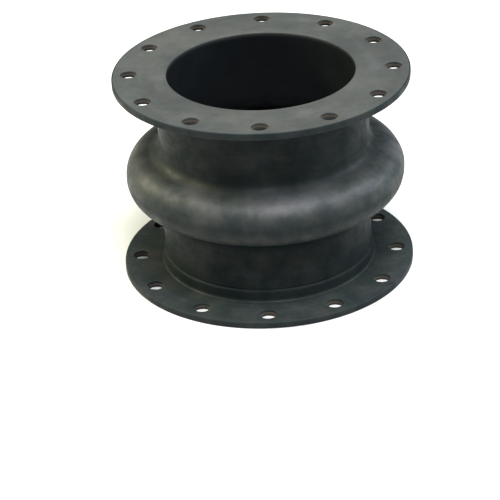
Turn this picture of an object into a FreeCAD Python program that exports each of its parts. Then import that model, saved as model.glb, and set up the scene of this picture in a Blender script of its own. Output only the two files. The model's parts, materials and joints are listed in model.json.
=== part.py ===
import FreeCAD, Part
import math
import os

# Single-arch rubber expansion joint with full-face flanges, nominal bore 250 mm, PN 10 drilling.
# Millimetres. The pipe axis is +Z and the origin is the centre of the lower sealing face.
FACE_TO_FACE = 280.0
BORE_R = 125.0
NECK_R = 141.0
FLANGE_R = 197.5
FLANGE_T = 9.0
PCD = 350.0
HOLE_R = 11.0
HOLE_COUNT = 12

# Arch: a rounded crown, centred a little below mid-height, that meets the necks in fillets.
ARCH_Z = 137.0
ARCH_R = 187.5
CROWN_RADIUS = 32.0
FILLET_RADIUS = 18.0
CROWN_HALF_FLAT = 1.0

# Layers of the wall: a tube inside, two fabric plies, and a cover that wraps the flanges' rims.
TUBE_T = 3.0
PLY_T = 2.0
COVER_T = 9.0
TUBE_OUTER_R = BORE_R + TUBE_T
PLY_OUTER_R = TUBE_OUTER_R + PLY_T
COVER_INNER_R = NECK_R - COVER_T
FACE_TUBE_T = 3.0
FACE_PLY_T = 1.5
PLY_TOP = FACE_TUBE_T + FACE_PLY_T
CARCASS_TOP = PLY_TOP + FACE_PLY_T
RIM_COVER_T = 2.0
LAYER_EDGE_R = FLANGE_R - RIM_COVER_T

# The arch's layers, as depths below its outer surface.
CARCASS_DEPTH = COVER_T
TUBE_DEPTH = NECK_R - TUBE_OUTER_R
WALL_DEPTH = NECK_R - BORE_R

# Foot of each neck: a wrapped band with a sloped shoulder, and a small fillet at the flange.
FOOT_R = 143.5
FOOT_TOP = 24.0
FOOT_SLOPE = 3.0
FOOT_FILLET = 4.0

# Corner and neck details.
RIM_ROUND = 1.2
MOUTH_ROUND = 1.5
FILLER_LEG = 10.0
BODY_RING_T = 4.0
BODY_RING_HEIGHT = 8.0
BODY_RING_Z = 60.0

# Flexible slabs of the arch, from the bottom up, with a wire hoop between each two.
SLAB_HEIGHTS = [10.0, 10.0, 17.0, 23.0, 12.0, 23.0, 17.0, 10.0, 10.0]
HOOP_WIRE_R = 1.25
HOOP_DEPTH = (CARCASS_DEPTH + TUBE_DEPTH) / 2
ARCH_LOW = ARCH_Z - sum(SLAB_HEIGHTS) / 2
ARCH_HIGH = ARCH_Z + sum(SLAB_HEIGHTS) / 2
LOWER_LENGTH = ARCH_LOW
UPPER_LENGTH = FACE_TO_FACE - ARCH_HIGH

# The crown's and fillets' arcs touch at one angle from the widest circle.
CROWN_CENTRE_R = ARCH_R - CROWN_RADIUS
FILLET_CENTRE_R = NECK_R + FILLET_RADIUS
ARC_SUM = CROWN_RADIUS + FILLET_RADIUS
TOUCH_ANGLE = math.acos((FILLET_CENTRE_R - CROWN_CENTRE_R) / ARC_SUM)
FILLET_Z = CROWN_HALF_FLAT + ARC_SUM * math.sin(TOUCH_ANGLE)

ORIGIN = FreeCAD.Vector(0, 0, 0)
UP = FreeCAD.Vector(0, 0, 1)
ACROSS = FreeCAD.Vector(0, 1, 0)


def point(r, z):
    """A point of a section in the XZ plane."""
    return FreeCAD.Vector(r, 0, z)


def polygon(corners):
    """A section bounded by straight lines through (r, z) corners."""
    points = [point(r, z) for r, z in corners]
    return Part.Face(Part.makePolygon(points + points[:1]))


def rectangle(inner_r, outer_r, low, high):
    """A section with straight sides along and across the axis."""
    return polygon([(inner_r, low), (outer_r, low), (outer_r, high), (inner_r, high)])


def disc(r, z, radius):
    """A round section, such as a wire's."""
    return Part.Face(Part.Wire([Part.makeCircle(radius, point(r, z), ACROSS)]))


def turned(section):
    """The ring that a section makes when it turns about the pipe axis."""
    return section.Faces[0].revolve(ORIGIN, UP, 360)


def rounded(shape, radius, r, z):
    """The piece with its circular edge of radius r at height z rounded."""
    for edge in shape.Edges:
        circle = edge.Curve
        if isinstance(circle, Part.Circle) and math.dist((circle.Radius, circle.Center.z), (r, z)) < 1e-6:
            return shape.makeFillet(radius, [edge])
    raise ValueError("no edge at %g, %g" % (r, z))


def drilled(shape):
    """The piece with the lower flange's bolt holes through it."""
    for k in range(HOLE_COUNT):
        hole = Part.makeCylinder(HOLE_R, 3 * FLANGE_T, point(PCD / 2, -FLANGE_T), UP)
        hole.rotate(ORIGIN, UP, 360 * k / HOLE_COUNT)
        shape = shape.cut(hole)
    return shape


def layer(inner_r, outer_r, low, high, length):
    """An L-shaped layer that runs down a neck of this length and out along the flange."""
    corners = [
        (inner_r, low),
        (LAYER_EDGE_R, low),
        (LAYER_EDGE_R, high),
        (outer_r, high),
        (outer_r, length),
        (inner_r, length),
    ]
    return turned(polygon(corners))


def flange_cover(length):
    """The outer rubber of one end: neck, foot band, flange back and rim."""
    ring_low = BODY_RING_Z - BODY_RING_HEIGHT / 2
    ring_high = BODY_RING_Z + BODY_RING_HEIGHT / 2
    corners = [
        (COVER_INNER_R, length),
        (NECK_R, length),
        (NECK_R, FOOT_TOP + FOOT_SLOPE),
        (FOOT_R, FOOT_TOP),
        (FOOT_R, FLANGE_T),
        (FLANGE_R, FLANGE_T),
        (FLANGE_R, 0),
        (LAYER_EDGE_R, 0),
        (LAYER_EDGE_R, CARCASS_TOP),
        (COVER_INNER_R + FILLER_LEG, CARCASS_TOP),
        (COVER_INNER_R, CARCASS_TOP + FILLER_LEG),
        (COVER_INNER_R, ring_low),
        (COVER_INNER_R + BODY_RING_T, ring_low),
        (COVER_INNER_R + BODY_RING_T, ring_high),
        (COVER_INNER_R, ring_high),
    ]
    cover = rounded(turned(polygon(corners)), FOOT_FILLET, FOOT_R, FLANGE_T)
    cover = rounded(cover, RIM_ROUND, FLANGE_R, FLANGE_T)
    return rounded(cover, RIM_ROUND, FLANGE_R, 0)


def corner_filler():
    """The rubber filler in the corner between neck and flange."""
    top = CARCASS_TOP + FILLER_LEG
    edge = COVER_INNER_R + FILLER_LEG
    return turned(polygon([(COVER_INNER_R, CARCASS_TOP), (edge, CARCASS_TOP), (COVER_INNER_R, top)]))


def body_ring():
    """The flat steel ring that stiffens the neck beside the arch."""
    low = BODY_RING_Z - BODY_RING_HEIGHT / 2
    high = BODY_RING_Z + BODY_RING_HEIGHT / 2
    return turned(rectangle(COVER_INNER_R, COVER_INNER_R + BODY_RING_T, low, high))


def end_pieces(length):
    """Every piece of one end, by name, as it stands at the bottom."""
    tube = rounded(layer(BORE_R, TUBE_OUTER_R, 0, FACE_TUBE_T, length), MOUTH_ROUND, BORE_R, 0)
    return {
        "tube": drilled(tube),
        "ply_inner": drilled(layer(TUBE_OUTER_R, PLY_OUTER_R, FACE_TUBE_T, PLY_TOP, length)),
        "ply_outer": drilled(layer(PLY_OUTER_R, COVER_INNER_R, PLY_TOP, CARCASS_TOP, length)),
        "cover": drilled(flange_cover(length)),
        "corner_filler": corner_filler(),
        "body_ring": body_ring(),
    }


def on_crown(depth, angle, side):
    """A point at a depth under the crown, at an angle from its widest circle."""
    radius = CROWN_RADIUS - depth
    offset = CROWN_HALF_FLAT + radius * math.sin(angle)
    return point(CROWN_CENTRE_R + radius * math.cos(angle), ARCH_Z + side * offset)


def on_fillet(depth, angle, side):
    """A point at a depth under a fillet, at an angle from the neck's end."""
    radius = FILLET_RADIUS + depth
    offset = FILLET_Z - radius * math.sin(angle)
    return point(FILLET_CENTRE_R - radius * math.cos(angle), ARCH_Z + side * offset)


def arc(on_curve, depth, side):
    """An arc of the arch's section, from its end angle to where crown and fillet touch."""
    points = [on_curve(depth, share * TOUCH_ANGLE, side) for share in (0, 0.5, 1)]
    return Part.Arc(*points).toShape()


def arch_line(depth):
    """The arch's section line at a depth below its outer surface."""
    neck = NECK_R - depth
    return [
        Part.makeLine(point(neck, ARCH_LOW), on_fillet(depth, 0, -1)),
        arc(on_fillet, depth, -1),
        arc(on_crown, depth, -1),
        Part.makeLine(on_crown(depth, 0, -1), on_crown(depth, 0, 1)),
        arc(on_crown, depth, 1),
        arc(on_fillet, depth, 1),
        Part.makeLine(on_fillet(depth, 0, 1), point(neck, ARCH_HIGH)),
    ]


def arch_layer(depth, deeper):
    """The section of the arch's wall between two depths."""
    ends = [
        Part.makeLine(point(NECK_R - depth, z), point(NECK_R - deeper, z)) for z in (ARCH_LOW, ARCH_HIGH)
    ]
    edges = Part.sortEdges(arch_line(depth) + arch_line(deeper) + ends)[0]
    return Part.Face(Part.Wire(edges))


def line_r(depth, z):
    """The radius at a height of the arch's section line at a depth."""
    offset = abs(z - ARCH_Z)
    crown = CROWN_RADIUS - depth
    if offset > CROWN_HALF_FLAT + crown * math.sin(TOUCH_ANGLE):
        reach = min(FILLET_Z - offset, FILLET_RADIUS + depth)
        drop = math.sqrt((FILLET_RADIUS + depth) ** 2 - max(reach, 0) ** 2)
        return FILLET_CENTRE_R - drop
    return CROWN_CENTRE_R + math.sqrt(crown**2 - max(offset - CROWN_HALF_FLAT, 0) ** 2)


def arch():
    """The flexible slabs of every layer, and the wire hoops between them, by name."""
    heights = [ARCH_LOW + sum(SLAB_HEIGHTS[:k]) for k in range(len(SLAB_HEIGHTS) + 1)]
    wires = [disc(line_r(HOOP_DEPTH, z), z, HOOP_WIRE_R) for z in heights[1:-1]]
    layers = {
        "cover": arch_layer(0, CARCASS_DEPTH),
        "carcass": arch_layer(CARCASS_DEPTH, TUBE_DEPTH).cut(wires),
        "tube": arch_layer(TUBE_DEPTH, WALL_DEPTH),
    }
    pieces = {"arch_hoop_%d" % (k + 1): turned(wire) for k, wire in enumerate(wires)}
    for name, section in layers.items():
        for k, (low, high) in enumerate(zip(heights, heights[1:])):
            slab = section.common(rectangle(BORE_R / 2, FLANGE_R, low, high))
            pieces["arch_%s_%d" % (name, k + 1)] = turned(slab)
    return pieces


def main():
    os.makedirs("parts", exist_ok=True)
    pieces = arch()
    for name, shape in end_pieces(LOWER_LENGTH).items():
        pieces["lower_" + name] = shape
    for name, shape in end_pieces(UPPER_LENGTH).items():
        pieces["upper_" + name] = shape.mirror(point(0, FACE_TO_FACE / 2), UP)
    for name, shape in pieces.items():
        shape.exportStep("parts/%s.step" % name)


main()
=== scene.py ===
"""Looks of a single-arch rubber expansion joint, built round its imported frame. Metres, in the CAD frame."""
import json
import math
import bmesh
import bpy
import numpy as np
from mathutils import Matrix, Vector


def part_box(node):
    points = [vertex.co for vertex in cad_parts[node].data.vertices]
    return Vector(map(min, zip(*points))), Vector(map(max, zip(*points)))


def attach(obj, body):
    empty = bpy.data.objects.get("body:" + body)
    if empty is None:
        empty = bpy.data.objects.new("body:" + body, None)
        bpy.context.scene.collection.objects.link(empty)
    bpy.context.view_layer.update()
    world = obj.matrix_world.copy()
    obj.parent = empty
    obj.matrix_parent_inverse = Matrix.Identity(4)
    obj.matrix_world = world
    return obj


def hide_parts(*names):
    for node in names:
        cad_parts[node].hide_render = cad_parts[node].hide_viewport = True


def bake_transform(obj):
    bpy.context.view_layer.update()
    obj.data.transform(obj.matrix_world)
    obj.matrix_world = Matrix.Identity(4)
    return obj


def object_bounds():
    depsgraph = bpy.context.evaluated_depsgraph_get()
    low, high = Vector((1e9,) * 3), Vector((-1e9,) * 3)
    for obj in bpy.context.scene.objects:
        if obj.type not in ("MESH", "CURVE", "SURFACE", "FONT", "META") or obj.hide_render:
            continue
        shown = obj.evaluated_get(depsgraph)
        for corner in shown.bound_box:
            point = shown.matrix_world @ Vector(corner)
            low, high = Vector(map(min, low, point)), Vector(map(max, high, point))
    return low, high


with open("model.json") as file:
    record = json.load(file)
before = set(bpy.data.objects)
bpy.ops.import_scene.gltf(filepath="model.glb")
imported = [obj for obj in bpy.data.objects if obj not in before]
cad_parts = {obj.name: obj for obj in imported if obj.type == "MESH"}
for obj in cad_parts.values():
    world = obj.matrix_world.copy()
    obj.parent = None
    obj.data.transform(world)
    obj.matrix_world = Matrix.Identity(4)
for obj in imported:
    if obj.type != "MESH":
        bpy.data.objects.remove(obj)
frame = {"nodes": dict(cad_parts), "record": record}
cad_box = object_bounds()
mounts = {m["name"]: m for m in frame["record"]["mounts"]}
MM = 0.001

# Driving sizes, read from the frame.
HEIGHT = cad_box[1][2]
FLANGE_R = cad_box[1][0]
BORE_R = mounts["upper_bore"]["dims"]["r_mm"] * MM
HOLE_CIRCLE_R = mounts["upper_bolts"]["dims"]["pcd_mm"] * MM / 2
HOLE_R = mounts["upper_bolts"]["dims"]["hole_r_mm"] * MM
HOLE_COUNT = mounts["upper_bolts"]["dims"]["count"]
NECK_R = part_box("arch_cover_1")[1].x
ARCH_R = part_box("arch_cover_5")[1].x
ARCH_Z = (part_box("arch_cover_5")[0].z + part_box("arch_cover_5")[1].z) / 2
SLAB_COUNT = 9
SLAB_EDGES = [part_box("arch_cover_%d" % (k + 1))[0].z for k in range(SLAB_COUNT)]
SLAB_EDGES += [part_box("arch_cover_%d" % SLAB_COUNT)[1].z]
ARCH_LOW = SLAB_EDGES[0]
ARCH_HIGH = SLAB_EDGES[-1]
COVER_INNER_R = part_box("arch_carcass_1")[1].x
CARCASS_INNER_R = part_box("arch_tube_1")[1].x
LAYER_EDGE_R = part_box("lower_tube")[1].x
FACE_TUBE_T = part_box("lower_ply_inner")[0].z
CARCASS_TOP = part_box("lower_corner_filler")[0].z
FILLER_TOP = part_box("lower_corner_filler")[1].z
FILLER_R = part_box("lower_corner_filler")[1].x
RING_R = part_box("lower_body_ring")[1].x
RING_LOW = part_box("lower_body_ring")[0].z
RING_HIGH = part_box("lower_body_ring")[1].z

# Sizes that the frame doesn't give, as in the CAD.
FLANGE_T = 9 * MM
CROWN_RADIUS = 32 * MM
FILLET_RADIUS = 18 * MM
CROWN_HALF_FLAT = 1 * MM
FOOT_R = 143.5 * MM
FOOT_TOP = 24 * MM
FOOT_FILLET = 4 * MM
RIM_ROUND = 1.2 * MM
MOUTH_ROUND = 1.5 * MM

# Detail of the looks: softened edges, and how closely the meshes are divided.
HOLE_BEVEL = 0.6 * MM
HOLE_PATCH = 15 * MM
FOOT_ROUND = 1 * MM
FOOT_GROOVE = 0.6 * MM
SECTION_STEP = 1.3 * MM
FLAT_STEP = 4 * MM
FIRST_ROW = 0.15 * MM
SECTOR_STEPS = 20
AROUND = HOLE_COUNT * SECTOR_STEPS
SIDE_STEPS = 6
SHARP = math.radians(38)

# Marks of hand lay-up: swells of the wall, the turns of wrapping tape, and threads of cloth round the neck.
SWELL = 0.28 * MM
TAPE_LIFT = 0.22 * MM
TAPE_PITCH = 14 * MM
CLOTH_THREADS = 620

# Painted shade on the cover, as (height, share) stops: how strongly it is darkened under the arch and round
# its widest part.
SHADE_BY_HEIGHT = (
    (50 * MM, 0.0),
    (78 * MM, 0.6),
    (92 * MM, 1.0),
    (108 * MM, 0.6),
    (118 * MM, 0.2),
    (136 * MM, 0.6),
    (158 * MM, 0.0),
)
# How strongly the top of the arch is paled, as (height, share) stops: pale dust and painted top light.
DUST_AND_TOP_LIGHT = ((150 * MM, 0.0), (165 * MM, 0.6), (178 * MM, 0.0))
# Width of the flanges' paler outer edge: wear and painted light.
WORN_AND_LIT_EDGE = 14 * MM
# Height of the band at each face kept clear of the bore's painted shade.
MOUTH_SHADE = 4 * MM

# The stage. Softboxes are (name, place, size, power, colour).
FLOOR_SIZE = 12
FLOOR_GREY = 0.42
SUN_FROM = (0.21, -0.78, 1.83)
SUN_STRENGTH = 7.6
SUN_WIDTH = math.radians(30)
SOFTBOXES = (
    ("left", (-1.8, 0.45, 1.4), 1.0, 80, (1.0, 0.96, 0.66)),
    ("right", (1.8, 0.45, 1.2), 0.8, 42, (0.82, 0.95, 1.0)),
    ("behind", (0.0, 1.2, 2.4), 1.4, 20, (1.0, 1.0, 1.0)),
)
AMBIENT_COLOUR = (0.80, 1.0, 1.0, 1)
AMBIENT_STRENGTH = 0.17
CAMERA_LENS = 163
CAMERA_PLACE = (0.0725, -2.737, 1.491)
CAMERA_TARGET = (-0.0202, -0.1654, 0.1)
CAMERA_ROLL = math.radians(-2.92)

FILLET_CENTRE_R = NECK_R + FILLET_RADIUS
CROWN_CENTRE_R = ARCH_R - CROWN_RADIUS
ARC_SUM = CROWN_RADIUS + FILLET_RADIUS
TOUCH_ANGLE = math.acos((FILLET_CENTRE_R - CROWN_CENTRE_R) / ARC_SUM)
FILLET_Z = CROWN_HALF_FLAT + ARC_SUM * math.sin(TOUCH_ANGLE)


# ---------------------------------------------------------------- meshes

def arc(centre_r, centre_z, radius, start, end):
    """(r, z) points of an arc, by angle in radians, closely spaced."""
    count = max(3, round(abs(end - start) * radius / SECTION_STEP) + 1)
    angles = np.linspace(start, end, count)
    return np.c_[centre_r + radius * np.cos(angles), centre_z + radius * np.sin(angles)]


def straight(r0, z0, r1, z1, step=SECTION_STEP):
    """(r, z) points of a straight run."""
    count = max(2, round(math.hypot(r1 - r0, z1 - z0) / step) + 1)
    return np.linspace((r0, z0), (r1, z1), count)


def arch_line(depth):
    """(r, z) points up the arch's section, at a depth below its outer surface."""
    neck = NECK_R - depth
    fillet = arc(FILLET_CENTRE_R, ARCH_Z - FILLET_Z, FILLET_RADIUS + depth, math.pi, math.pi - TOUCH_ANGLE)
    crown = arc(CROWN_CENTRE_R, ARCH_Z - CROWN_HALF_FLAT, CROWN_RADIUS - depth, -TOUCH_ANGLE, 0)
    lower = np.vstack([straight(neck, ARCH_LOW, *fillet[0]), fillet[1:], crown[1:]])
    upper = lower[::-1] * (1, -1) + (0, 2 * ARCH_Z)
    return np.vstack([lower, upper])


def slab_line(depth, low, high):
    """The part of the arch's line between two heights, with a fine row at each end."""
    line = arch_line(depth)
    heights = line[:, 1]
    inside = heights[(heights > low + 2 * FIRST_ROW) & (heights < high - 2 * FIRST_ROW)]
    heights = np.r_[low, low + FIRST_ROW, inside, high - FIRST_ROW, high]
    return np.c_[np.interp(heights, line[:, 1], line[:, 0]), heights]


def spun(section):
    """A grid of points: an open section turned right round the axis."""
    angles = np.linspace(0, 2 * math.pi, AROUND + 1)
    r = section[:, 0][:, None]
    z = np.broadcast_to(section[:, 1][:, None], (len(section), AROUND + 1))
    return np.stack([r * np.cos(angles), r * np.sin(angles), z], axis=-1)


def hole_rim(z, radius):
    """Points round one bolt hole, as (r, angle, z): one loop, in step with patch_rim's."""
    outline = patch_rim(z)
    turn = np.arctan2(outline[:, 0] - HOLE_CIRCLE_R, outline[:, 1] * HOLE_CIRCLE_R)
    x = HOLE_CIRCLE_R + radius * np.sin(turn)
    y = radius * np.cos(turn)
    return np.c_[np.hypot(x, y), np.arctan2(y, x), np.full(len(turn), z)]


def patch_rim(z):
    """The outline of the patch round one bolt hole, as (r, angle, z): one loop."""
    half = math.pi / HOLE_COUNT
    across = np.linspace(-half, half, SECTOR_STEPS + 1)
    along = np.linspace(HOLE_CIRCLE_R - HOLE_PATCH, HOLE_CIRCLE_R + HOLE_PATCH, SIDE_STEPS + 1)
    sides = [
        np.c_[np.full(SECTOR_STEPS, along[0]), across[:-1]],
        np.c_[along[:-1], np.full(SIDE_STEPS, half)],
        np.c_[np.full(SECTOR_STEPS, along[-1]), across[:0:-1]],
        np.c_[along[:0:-1], np.full(SIDE_STEPS, -half)],
    ]
    loop = np.vstack(sides)
    loop = np.vstack([loop, loop[:1]])
    return np.c_[loop, np.full(len(loop), z)]


def drilled_patches(z, inward, wall_end):
    """Grids for the flat band with the bolt holes, at height z, and the holes' walls as far as wall_end.

    inward is the way into the rubber, +1 or -1, or 0 where the hole's edge is plain.
    """
    bevel = HOLE_BEVEL * abs(inward)
    outline, hole = patch_rim(z), hole_rim(z, HOLE_R + bevel)
    loops = [outline + (hole - outline) * share for share in (0, 0.35, 0.65, 0.85, 1)]
    if inward:
        loops += [hole_rim(z + inward * bevel * 0.3, HOLE_R + bevel * 0.3)]
        loops += [hole_rim(z + inward * bevel, HOLE_R)]
        loops += [hole_rim(wall_end, HOLE_R)]
    grids = []
    for k in range(HOLE_COUNT):
        polar = np.array(loops) + (0, 2 * math.pi * k / HOLE_COUNT, 0)
        r, angle, height = polar[..., 0], polar[..., 1], polar[..., 2]
        grids.append(np.stack([r * np.cos(angle), r * np.sin(angle), height], axis=-1))
    return grids


def piece(name, grids, reshape=None, flip=False):
    """An object whose mesh is the given point grids, joined where they meet."""
    mesh = bpy.data.meshes.new(name)
    build = bmesh.new()
    for grid in grids:
        rows, columns = grid.shape[:2]
        points = grid.reshape(-1, 3)
        verts = [build.verts.new(p) for p in (points * (1, 1, -1) + (0, 0, HEIGHT) if flip else points)]
        for i in range(rows - 1):
            for j in range(columns - 1):
                a = i * columns + j
                corners = [verts[a], verts[a + 1], verts[a + columns + 1], verts[a + columns]]
                build.faces.new(corners)
    bmesh.ops.remove_doubles(build, verts=build.verts, dist=0.01 * MM)
    bmesh.ops.dissolve_degenerate(build, edges=build.edges, dist=0.001 * MM)
    bmesh.ops.recalc_face_normals(build, faces=build.faces)
    for face in build.faces:
        face.smooth = True
    for edge in build.edges:
        edge.smooth = edge.calc_face_angle(0) < SHARP
    build.to_mesh(mesh)
    build.free()
    if reshape:
        points = np.empty(len(mesh.vertices) * 3, np.float32)
        mesh.vertices.foreach_get("co", points)
        mesh.vertices.foreach_set("co", reshape(points.reshape(-1, 3)).astype(np.float32).ravel())
    rest = mesh.attributes.new("rest", "FLOAT_VECTOR", "POINT")
    points = np.empty(len(mesh.vertices) * 3, np.float32)
    mesh.vertices.foreach_get("co", points)
    rest.data.foreach_set("vector", points)
    obj = bpy.data.objects.new(name, mesh)
    bpy.context.scene.collection.objects.link(obj)
    return obj


def hand_worked(points):
    """Moves the cover's points as hand lay-up does: low swells all round, and tape steps up the necks."""
    x, y, z = points.T
    r, angle = np.hypot(x, y), np.arctan2(y, x)
    rise = 2 * z / HEIGHT - 1
    on_wall = np.clip((r - COVER_INNER_R) / (NECK_R - COVER_INNER_R), 0, 1)
    inside_flanges = np.clip((1 - abs(rise)) / 0.2 - 1, 0, 1)
    swell = np.sin(3 * angle + 4 * rise) + 0.7 * np.sin(5 * angle - 7 * rise + 1.9)
    swell += 0.5 * np.sin(11 * angle + 15 * rise + 0.6)
    tape = (z / TAPE_PITCH + angle / (2 * math.pi)) % 1
    ridge = np.exp(-((tape - 0.5) / 0.09) ** 2) - 0.35 * np.exp(-((tape - 0.62) / 0.06) ** 2)
    on_neck = np.clip((abs(z - ARCH_Z) - FILLET_Z * 0.86) / (8 * MM), 0, 1)
    lift = (SWELL * swell + TAPE_LIFT * ridge * on_neck) * on_wall * inside_flanges
    return np.c_[x + lift * np.cos(angle), y + lift * np.sin(angle), z]


# ---------------------------------------------------------------- materials

class Shader:
    """A node material in the making: add nodes, join them, read them back."""

    def __init__(self, name):
        self.material = bpy.data.materials.new(name)
        self.material.use_nodes = True
        self.tree = self.material.node_tree
        self.principled = self.tree.nodes["Principled BSDF"]

    def add(self, kind, inputs=None, **settings):
        """A node with these settings and inputs: numbers, colours or other nodes' sockets."""
        node = self.tree.nodes.new("ShaderNode" + kind)
        for key, value in settings.items():
            setattr(node, key, value)
        for key, value in (inputs or {}).items():
            self.put(node, key, value)
        return node

    def put(self, node, key, value):
        """Sets one input of a node, or joins a socket to it."""
        socket = node.inputs[key]
        if isinstance(value, bpy.types.NodeSocket):
            self.tree.links.new(value, socket)
        else:
            socket.default_value = value

    def noise(self, where, scale, detail=4.0, stretch=(1, 1, 1), roughness=0.55):
        """A noise's strength, 0 to 1, stretched along the axes."""
        mapped = self.add("Mapping", {"Vector": where, "Scale": stretch})
        settings = {"Vector": mapped.outputs[0], "Scale": scale, "Detail": detail, "Roughness": roughness}
        return self.add("TexNoise", settings).outputs["Fac"]

    def polar(self, where):
        """A place's direction from the axis, as a unit vector, its radius and its height."""
        flat = self.add("VectorMath", {0: where, 1: (1, 1, 0)}, operation="MULTIPLY").outputs[0]
        turn = self.add("VectorMath", {0: flat}, operation="NORMALIZE").outputs[0]
        radius = self.add("VectorMath", {0: flat}, operation="LENGTH").outputs["Value"]
        return turn, radius, self.add("SeparateXYZ", {0: where}).outputs["Z"]

    def rings(self, turn, radius, height, along, across):
        """Noise drawn out round the axis: so many marks along a ring, and so many per metre across it."""
        out = self.add("VectorMath", {0: turn, "Scale": along / 3}, operation="SCALE").outputs[0]
        up = self.add("CombineXYZ", {"Z": self.math("MULTIPLY", radius, across)}).outputs[0]
        place = self.add("VectorMath", {0: out, 1: up}, operation="ADD").outputs[0]
        settings = {"Vector": place, "W": self.math("MULTIPLY", height, across), "Scale": 1, "Detail": 5}
        return self.add("TexNoise", settings, noise_dimensions="4D").outputs["Fac"]

    def cloth(self, where, height):
        """The print of a wrapping cloth, 0 to 1: threads round the axis and threads along it."""
        parts = self.add("SeparateXYZ", {0: where}).outputs
        angle = self.math("ARCTAN2", parts["Y"], parts["X"])
        warp = self.math("SINE", self.math("MULTIPLY", angle, CLOTH_THREADS))
        weft = self.math("SINE", self.math("MULTIPLY", height, CLOTH_THREADS / NECK_R))
        return self.math("MULTIPLY", warp, weft)

    def ramp(self, value, *stops):
        """A value turned through a ramp of (place, grey or colour) stops."""
        node = self.add("ValToRGB", {"Fac": value})
        ramp = node.color_ramp
        while len(ramp.elements) < len(stops):
            ramp.elements.new(0.5)
        for element, (place, colour) in zip(ramp.elements, stops):
            element.position = place
            element.color = (colour, colour, colour, 1) if isinstance(colour, float) else (*colour, 1)
        return node.outputs["Color"]

    def mix(self, share, a, b, kind="MIX"):
        """Two colours mixed."""
        node = self.add("Mix", data_type="RGBA", blend_type=kind)
        for index, value in ((0, share), (6, a), (7, b)):
            self.put(node, index, value)
        return node.outputs[2]

    def math(self, operation, a, b=0.0):
        """The result of an operation on one or two values."""
        return self.add("Math", {0: a, 1: b}, operation=operation).outputs[0]

    def bump(self, height, strength, distance, below=None):
        """A bump over an optional lower one."""
        inputs = {"Height": height, "Strength": strength, "Distance": distance}
        if below is not None:
            inputs["Normal"] = below
        return self.add("Bump", inputs).outputs[0]

    def finish(self, **inputs):
        """Sets the surface's inputs, with underscores for spaces."""
        for key, value in inputs.items():
            self.put(self.principled, key.replace("_", " "), value)
        return self.material


def shade_and_top_light(s, radius, height, from_middle, mottle, base, shine, dust_and_light_colour, painted_shade):
    """The cover's colour and shine: painted shade, with less shine, on the necks, under the arch, round its
    widest part and more thinly on the flanges' backs and rims; and pale patches of painted top light on top
    of the arch.
    """
    # Painted shade: the necks darkened, and more thinly the flanges' backs and rims.
    on_neck = s.ramp(radius, (NECK_R + 6 * MM, 0.7), (NECK_R + 16 * MM, 0.0))
    flange_back = HEIGHT / 2 - FLANGE_T
    flange_shade = s.ramp(from_middle, (flange_back - 4 * MM, 0.0), (flange_back, 0.65))
    # Joined with the painted shade under the arch and round its widest part, by height.
    shade_share = s.math("MAXIMUM", s.ramp(height, *SHADE_BY_HEIGHT), s.math("MAXIMUM", on_neck, flange_shade))
    # Pale dust and painted top light on top of the arch, in patches.
    dust_and_light_share = s.math("MULTIPLY", s.ramp(height, *DUST_AND_TOP_LIGHT), s.ramp(mottle, (0.42, 0.15), (0.60, 1.0)))
    base = s.mix(dust_and_light_share, base, (*dust_and_light_colour, 1))
    # The painted shade goes on last, and takes most of the shine away with it.
    base = s.mix(shade_share, base, (*painted_shade, 1))
    return base, s.ramp(shade_share, (0.3, shine), (0.75, 0.35 * shine), (1.0, 0.1 * shine))


def rubber(name, dark, light, streak, roughness, shine, patchy, worn_and_lit, inside=None, painted_shade=None):
    """Hand-wrapped rubber: mottled, streaked round the axis, with a cloth print and paler outer edges of wear
    and painted light.

    patchy is how strongly it is blotched. inside is the colour of the bore's painted shade, near black below
    its mouth, and grime that of the painted shade on the necks, the arch's under side and, more thinly, the
    flanges' backs and rims.
    """
    s = Shader(name)
    where = s.add("Attribute", attribute_name="rest").outputs["Vector"]
    turn, radius, height = s.polar(where)
    from_middle = s.math("ABSOLUTE", s.math("SUBTRACT", height, HEIGHT / 2))
    mottle = s.noise(where, 16, 6)
    patches = s.noise(where, 30, 5, roughness=0.7)
    streaks = s.rings(turn, radius, height, 3, 130)
    smears = s.rings(turn, radius, height, 7, 45)
    speck = s.noise(where, 260, 2)
    base = s.ramp(mottle, (0.34, dark), (0.66, light))
    base = s.mix(s.ramp(smears, (0.52, 0.0), (0.76, 0.7)), base, (*streak, 1))
    base = s.mix(s.ramp(streaks, (0.50, 0.0), (0.80, 0.35)), base, (*light, 1))
    base = s.mix(s.ramp(speck, (0.62, 0.0), (0.80, 0.22)), base, (*light, 1))
    # Paler outer edges of the flanges: wear and painted light.
    edge = s.ramp(radius, (FLANGE_R - WORN_AND_LIT_EDGE, 0.0), (FLANGE_R, 0.6))
    base = s.mix(edge, base, (*worn_and_lit, 1))
    blotches = s.ramp(patches, (0.39, (0.28, 0.38, 0.42)), (0.62, (1.05, 1.0, 0.95)))
    base = s.mix(patchy, base, blotches, "MULTIPLY")
    # Painted shade, and painted top light on top of the arch: on the cover only.
    if painted_shade:
        base, shine = shade_and_top_light(s, radius, height, from_middle, mottle, base, shine, streak, painted_shade)
    # The bore below its mouth darkened nearly to black, with little shine: painted shade.
    if inside:
        within = s.ramp(from_middle, (HEIGHT / 2 - MOUTH_SHADE, 1.0), (HEIGHT / 2 - 0.3 * MM, 0.0))
        base = s.mix(within, base, (*inside, 1))
        shine = s.ramp(within, (0.0, shine), (1.0, 0.08))
    gloss = s.ramp(patches, (0.38, roughness), (0.64, roughness - 0.2))
    lumps = s.bump(mottle, 0.25, 1.2 * MM)
    scratches = s.bump(streaks, 0.22, 0.5 * MM, lumps)
    cloth_print = s.bump(s.cloth(where, height), 0.10, 0.2 * MM, scratches)
    surface = s.bump(s.noise(where, 900, 3), 0.25, 0.25 * MM, cloth_print)
    return s.finish(Base_Color=base, Roughness=gloss, Normal=surface, Specular_IOR_Level=shine)


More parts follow.
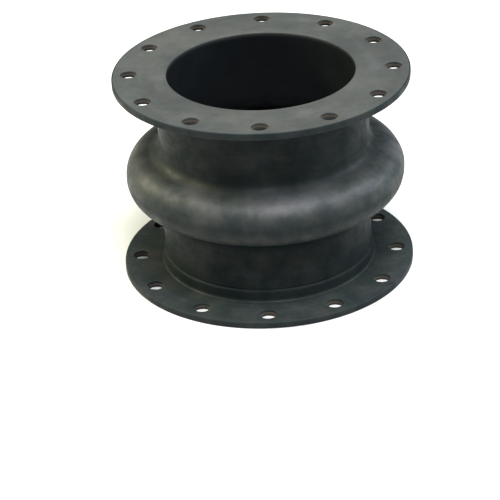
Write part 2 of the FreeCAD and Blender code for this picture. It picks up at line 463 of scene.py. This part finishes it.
def fabric(name, light, dark):
    """Rubber-coated canvas ply: two crossed weaves of yarn."""
    s = Shader(name)
    where = s.add("TexCoord").outputs["Object"]
    weave = []
    for direction in ("X", "Z"):
        wave = s.add("TexWave", {"Vector": where, "Scale": 320, "Distortion": 1.5}, bands_direction=direction)
        weave.append(wave.outputs["Fac"])
    yarn = s.math("MULTIPLY", *weave)
    base = s.mix(s.ramp(yarn, (0.1, 0.0), (0.6, 1.0)), (*dark, 1), (*light, 1))
    return s.finish(Base_Color=base, Roughness=0.9, Normal=s.bump(yarn, 0.6, 0.4 * MM))


def steel(name, colour, roughness):
    """Drawn or rolled steel with fine marks round the ring."""
    s = Shader(name)
    where = s.add("TexCoord").outputs["Object"]
    marks = s.noise(where, 60, 4, (1, 1, 12))
    base = s.mix(s.ramp(marks, (0.4, 0.0), (0.7, 0.5)), (*colour, 1), (0.32, 0.31, 0.30, 1))
    gloss = s.ramp(marks, (0.3, roughness), (0.7, roughness + 0.2))
    return s.finish(Base_Color=base, Metallic=1.0, Roughness=gloss, Normal=s.bump(marks, 0.3, 0.2 * MM))


def paint(obj, material):
    """Gives a piece its material."""
    obj.data.materials.clear()
    obj.data.materials.append(material)


# Below, the cover's darkest colour is painted shade, its streak colour also pales the top of the arch as pale
# dust and painted top light, the tube's inside colour is the bore's painted shade, and the outer-edge colours
# are wear and painted light.
COVER = rubber(
    "cover_rubber", (0.018, 0.023, 0.023), (0.042, 0.044, 0.040), (0.056, 0.056, 0.066), 0.62, 0.22, 0.85,
    worn_and_lit=(0.034, 0.038, 0.040), painted_shade=(0.005, 0.009, 0.010),
)
TUBE = rubber(
    "tube_rubber", (0.029, 0.031, 0.031), (0.048, 0.050, 0.048), (0.062, 0.063, 0.064), 0.66, 0.34, 0.40,
    worn_and_lit=(0.036, 0.040, 0.041), inside=(0.004, 0.005, 0.006),
)
FILLER = rubber(
    "filler_rubber", (0.03, 0.03, 0.03), (0.05, 0.05, 0.05), (0.06, 0.06, 0.06), 0.70, 0.40, 0.50,
    worn_and_lit=(0.05, 0.05, 0.05),
)
PLY = fabric("fabric_ply", (0.080, 0.058, 0.040), (0.025, 0.019, 0.014))
WIRE = steel("steel_wire", (0.60, 0.61, 0.62), 0.30)
BAR = steel("steel_ring", (0.50, 0.51, 0.53), 0.38)


# ---------------------------------------------------------------- pieces

def cover_grids(length):
    """One end's cover, as it stands at the bottom: neck, foot band, flange back, rim and inner side."""
    patch_in, patch_out = HOLE_CIRCLE_R - HOLE_PATCH, HOLE_CIRCLE_R + HOLE_PATCH
    rim_r = FLANGE_R - RIM_ROUND
    foot_corner = FOOT_R + FOOT_FILLET
    lip_r, lip_z = FOOT_R - FOOT_ROUND, FOOT_TOP + FOOT_ROUND
    groove_r, groove_z = NECK_R - FOOT_GROOVE, lip_z + FOOT_ROUND
    neck_end = groove_z + FOOT_ROUND
    outside = np.vstack([
        straight(NECK_R, length, NECK_R, neck_end),
        straight(NECK_R, neck_end, groove_r, groove_z, FOOT_ROUND / 2)[1:],
        straight(groove_r, groove_z, lip_r, lip_z, FOOT_ROUND / 2)[1:],
        arc(lip_r, FOOT_TOP, FOOT_ROUND, math.pi / 2, 0)[1:],
        straight(FOOT_R, FOOT_TOP, FOOT_R, FLANGE_T + FOOT_FILLET)[1:],
        arc(foot_corner, FLANGE_T + FOOT_FILLET, FOOT_FILLET, math.pi, 1.5 * math.pi)[1:],
        straight(foot_corner, FLANGE_T, patch_in, FLANGE_T)[1:],
    ])
    rim = np.vstack([
        straight(patch_out, FLANGE_T, rim_r, FLANGE_T),
        arc(rim_r, FLANGE_T - RIM_ROUND, RIM_ROUND, math.pi / 2, 0)[1:],
        arc(rim_r, RIM_ROUND, RIM_ROUND, 0, -math.pi / 2),
        straight(rim_r, 0, LAYER_EDGE_R, 0)[1:],
        straight(LAYER_EDGE_R, 0, LAYER_EDGE_R, CARCASS_TOP)[1:],
        straight(LAYER_EDGE_R, CARCASS_TOP, patch_out, CARCASS_TOP)[1:],
    ])
    inside = np.array([
        (patch_in, CARCASS_TOP),
        (FILLER_R, CARCASS_TOP),
        (COVER_INNER_R, FILLER_TOP),
        (COVER_INNER_R, RING_LOW),
        (RING_R, RING_LOW),
        (RING_R, RING_HIGH),
        (COVER_INNER_R, RING_HIGH),
        (COVER_INNER_R, length),
        (NECK_R, length),
    ])
    back = drilled_patches(FLANGE_T, -1, CARCASS_TOP)
    return [spun(outside), spun(rim), spun(inside), *back, *drilled_patches(CARCASS_TOP, 0, 0)]


def tube_grids(length):
    """One end's tube, as it stands at the bottom: bore, rounded mouth, sealing face and outer side."""
    patch_in, patch_out = HOLE_CIRCLE_R - HOLE_PATCH, HOLE_CIRCLE_R + HOLE_PATCH
    mouth = BORE_R + MOUTH_ROUND
    bore = np.vstack([
        straight(BORE_R, length, BORE_R, MOUTH_ROUND, FLAT_STEP),
        arc(mouth, MOUTH_ROUND, MOUTH_ROUND, math.pi, 1.5 * math.pi)[1:],
        straight(mouth, 0, patch_in, 0, FLAT_STEP)[1:],
    ])
    edge = np.array([
        (patch_out, 0),
        (LAYER_EDGE_R, 0),
        (LAYER_EDGE_R, FACE_TUBE_T),
        (patch_out, FACE_TUBE_T),
    ])
    outer = np.array([
        (patch_in, FACE_TUBE_T),
        (CARCASS_INNER_R, FACE_TUBE_T),
        (CARCASS_INNER_R, length),
        (BORE_R, length),
    ])
    face = drilled_patches(0, 1, FACE_TUBE_T)
    return [spun(bore), spun(edge), spun(outer), *face, *drilled_patches(FACE_TUBE_T, 0, 0)]


def build_ends():
    """Cover and tube of both ends; their plies, fillers and steel rings stay as the CAD has them."""
    for end, length in (("lower", ARCH_LOW), ("upper", HEIGHT - ARCH_HIGH)):
        for layer, grids, material, reshape in (
            ("cover", cover_grids(length), COVER, hand_worked),
            ("tube", tube_grids(length), TUBE, None),
        ):
            obj = piece("%s_%s_skin" % (end, layer), grids, reshape, flip=end == "upper")
            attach(obj, end + "_end")
            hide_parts("%s_%s" % (end, layer))
            paint(obj, material)


def build_arch():
    """Each layer of each slab of the arch, as its own piece."""
    layers = (
        ("cover", 0, NECK_R - COVER_INNER_R, COVER, "cover_rubber"),
        ("carcass", NECK_R - COVER_INNER_R, NECK_R - CARCASS_INNER_R, PLY, "fabric_ply"),
        ("tube", NECK_R - CARCASS_INNER_R, NECK_R - BORE_R, TUBE, "tube_rubber"),
    )
    for k in range(SLAB_COUNT):
        low, high = SLAB_EDGES[k], SLAB_EDGES[k + 1]
        for layer, depth, deeper, material, slot in layers:
            outer, inner = slab_line(depth, low, high), slab_line(deeper, low, high)[::-1]
            section = np.vstack([outer, inner, outer[:1]])
            reshape = hand_worked if layer == "cover" else None
            obj = piece("arch_%s_%d_skin" % (layer, k + 1), [spun(section)], reshape)
            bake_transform(obj)
            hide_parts("arch_%s_%d" % (layer, k + 1))
            paint(obj, material)


def paint_hidden():
    """Materials for the CAD nodes that stay as they are."""
    for name, node in frame["nodes"].items():
        if node.hide_render:
            continue
        if "ply" in name:
            paint(node, PLY)
        elif "filler" in name:
            paint(node, FILLER)
        elif "hoop" in name:
            paint(node, WIRE)
        elif "ring" in name:
            paint(node, BAR)


# ---------------------------------------------------------------- stage

def aimed(obj, place, target, roll=0.0):
    """Puts a camera or light at a place, facing a target, turned about its line of sight by roll radians."""
    back = (Vector(place) - Vector(target)).normalized()
    right = Vector((0, 0, 1)).cross(back).normalized()
    matrix = Matrix((right, back.cross(right), back)).transposed() @ Matrix.Rotation(roll, 3, "Z")
    obj.matrix_world = Matrix.Translation(place) @ matrix.to_4x4()


def soft_light(name, place, size, power, colour):
    """A square studio softbox that faces the joint."""
    data = bpy.data.lights.new(name, "AREA")
    data.shape = "SQUARE"
    data.size = size
    data.energy = power
    data.color = colour
    light = bpy.data.objects.new(name, data)
    bpy.context.scene.collection.objects.link(light)
    aimed(light, place, (0, 0, HEIGHT / 2))


def build_surroundings():
    """A white studio wall as far as the eye sees, which lights the joint only dimly."""
    world = bpy.data.worlds.new("surroundings")
    world.use_nodes = True
    tree = world.node_tree
    dim = tree.nodes["Background"]
    dim.inputs["Color"].default_value = AMBIENT_COLOUR
    dim.inputs["Strength"].default_value = AMBIENT_STRENGTH
    wall = tree.nodes.new("ShaderNodeBackground")
    wall.inputs["Color"].default_value = (1, 1, 1, 1)
    seen = tree.nodes.new("ShaderNodeLightPath")
    mix = tree.nodes.new("ShaderNodeMixShader")
    tree.links.new(seen.outputs["Is Camera Ray"], mix.inputs[0])
    tree.links.new(dim.outputs[0], mix.inputs[1])
    tree.links.new(wall.outputs[0], mix.inputs[2])
    tree.links.new(mix.outputs[0], tree.nodes["World Output"].inputs["Surface"])
    bpy.context.scene.world = world


def build_stage():
    """Pale floor, soft lights, even surroundings and the camera."""
    bpy.ops.mesh.primitive_plane_add(size=FLOOR_SIZE)
    floor = bpy.context.object
    floor.name = "floor"
    grey = (FLOOR_GREY, FLOOR_GREY, FLOOR_GREY, 1)
    floor.data.materials.append(Shader("floor").finish(Base_Color=grey, Roughness=0.85))
    key = bpy.data.objects.new("key", bpy.data.lights.new("key", "SUN"))
    key.data.energy = SUN_STRENGTH
    key.data.angle = SUN_WIDTH
    bpy.context.scene.collection.objects.link(key)
    aimed(key, SUN_FROM, (0, 0, 0))
    for softbox in SOFTBOXES:
        soft_light(*softbox)
    build_surroundings()
    bpy.context.scene.view_settings.view_transform = "Standard"
    data = bpy.data.cameras.new("camera")
    data.lens = CAMERA_LENS
    camera = bpy.data.objects.new("camera", data)
    bpy.context.scene.collection.objects.link(camera)
    aimed(camera, CAMERA_PLACE, CAMERA_TARGET, CAMERA_ROLL)
    bpy.context.scene.camera = camera


build_ends()
build_arch()
paint_hidden()
build_stage()
